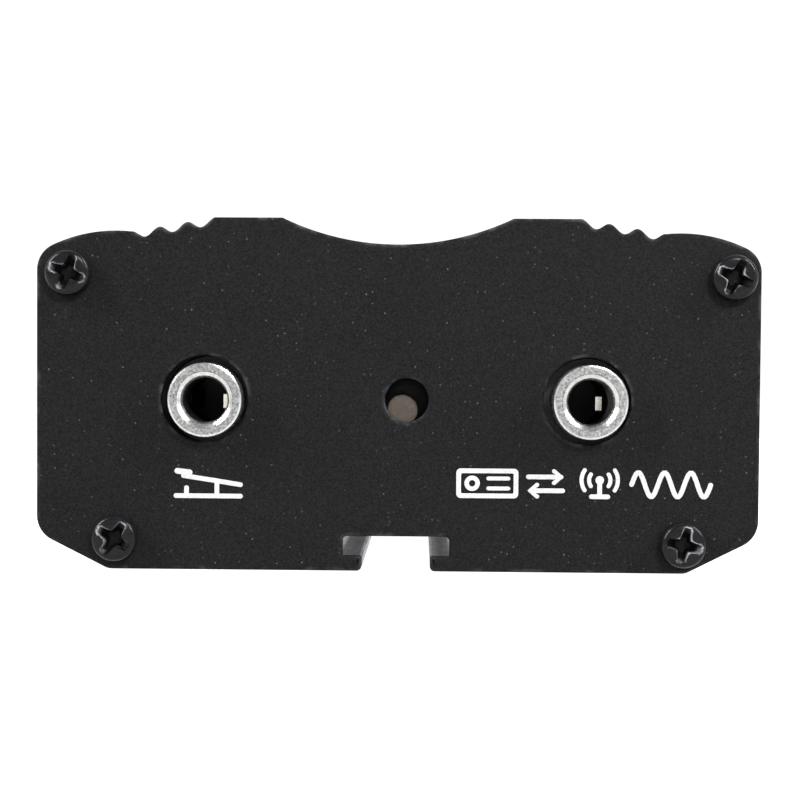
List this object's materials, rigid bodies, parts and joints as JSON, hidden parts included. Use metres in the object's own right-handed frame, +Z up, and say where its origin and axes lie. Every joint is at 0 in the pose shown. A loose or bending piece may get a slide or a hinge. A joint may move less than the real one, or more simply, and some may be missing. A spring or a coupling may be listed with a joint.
{
  "type": "morse key",
  "caption": "Pocket dual-lever morse key in an extruded aluminium case, with two 3.5 mm sockets, a recessed set button, a dished and grooved top, a T-slot underneath and sprung finger pieces.",
  "frame": {"origin": "on the surface that the key stands on, under the middle of its overall box", "axes": "+X to the right seen from the socket end, +Y from the sockets towards the finger pieces, +Z up"},
  "size_m": [0.058, 0.095, 0.0283],
  "materials": {
    "black_anodised": "black anodised over a fine bead blast",
    "black_screws": "black oxide, glossy",
    "nickel": "nickel plate, worn matt on the face",
    "black_plastic": "moulded, black",
    "contact_bronze": "tinned spring bronze",
    "board": "green solder mask on glass epoxy",
    "steel": "bright steel",
    "beige_plastic": "moulded, beige",
    "chip_plastic": "moulded epoxy, black",
    "ceramic": "fired ceramic with tinned ends",
    "brass": "machined",
    "aluminium": "satin, machined",
    "nylon": "natural white nylon",
    "magnet": "nickel-plated neodymium",
    "silver": "fine silver",
    "finger_black": "semi-gloss black acetal"
  },
  "bodies": {
    "case": {"body_shell": "black_anodised", "rear_plate": "black_anodised", "front_plate": "black_anodised", "rear_plate_screws": "black_screws", "front_plate_screws": "black_screws", "circuit_board": "board", "key_jack_barrel": "nickel", "key_jack_body": "black_plastic", "key_jack_contacts": "contact_bronze", "transceiver_jack_barrel": "nickel", "transceiver_jack_body": "black_plastic", "transceiver_jack_contacts": "contact_bronze", "set_button_case": "black_plastic", "set_button_cover": "steel", "keyer_chip": "chip_plastic", "keyer_chip_leads": "steel", "chip_resistors": "chip_plastic", "chip_capacitors": "ceramic", "coin_cell_holder": "black_plastic", "coin_cell": "steel", "coin_cell_clip": "steel", "mechanism_base": "brass", "bearing_bridge": "aluminium", "bridge_pillars": "brass", "bridge_screws": "steel", "base_screws": "steel", "dit_bearings": "steel", "dah_bearings": "steel", "stop_post": "brass", "stop_rod": "nylon", "stop_magnets": "magnet", "dit_contact_post": "brass", "dah_contact_post": "brass", "dit_contact_screw": "steel", "dah_contact_screw": "steel", "contact_lock_nuts": "brass", "post_screws": "steel"},
    "dit_lever_body": {"dit_lever": "aluminium", "dit_pivot_pin": "steel", "dit_finger_piece": "finger_black", "dit_finger_screws": "steel", "dit_magnet": "magnet", "dit_contact_rivet": "silver"},
    "dah_lever_body": {"dah_lever": "aluminium", "dah_pivot_pin": "steel", "dah_finger_piece": "finger_black", "dah_finger_screws": "steel", "dah_magnet": "magnet", "dah_contact_rivet": "silver"},
    "set_button": {"set_button_stem": "beige_plastic"}
  },
  "joints": [
    {"name": "dit_hinge", "type": "hinge", "parent": "case", "child": "dit_lever_body", "pos_m": [0.005, 0.01, 0.01665], "axis": [0, 0, 1], "range_deg": [0, 1.8], "stiffness_Nm_per_rad": 0.02, "springref_deg": -28.65},
    {"name": "dah_hinge", "type": "hinge", "parent": "case", "child": "dah_lever_body", "pos_m": [-0.005, 0.01, 0.01665], "axis": [0, 0, -1], "range_deg": [0, 1.8], "stiffness_Nm_per_rad": 0.02, "springref_deg": -28.65},
    {"name": "set_button_press", "type": "slide", "parent": "case", "child": "set_button", "axis": [0, 1, 0], "range_m": [0, 0.00025], "stiffness_N_per_m": 300, "springref_m": -0.003}
  ]
}
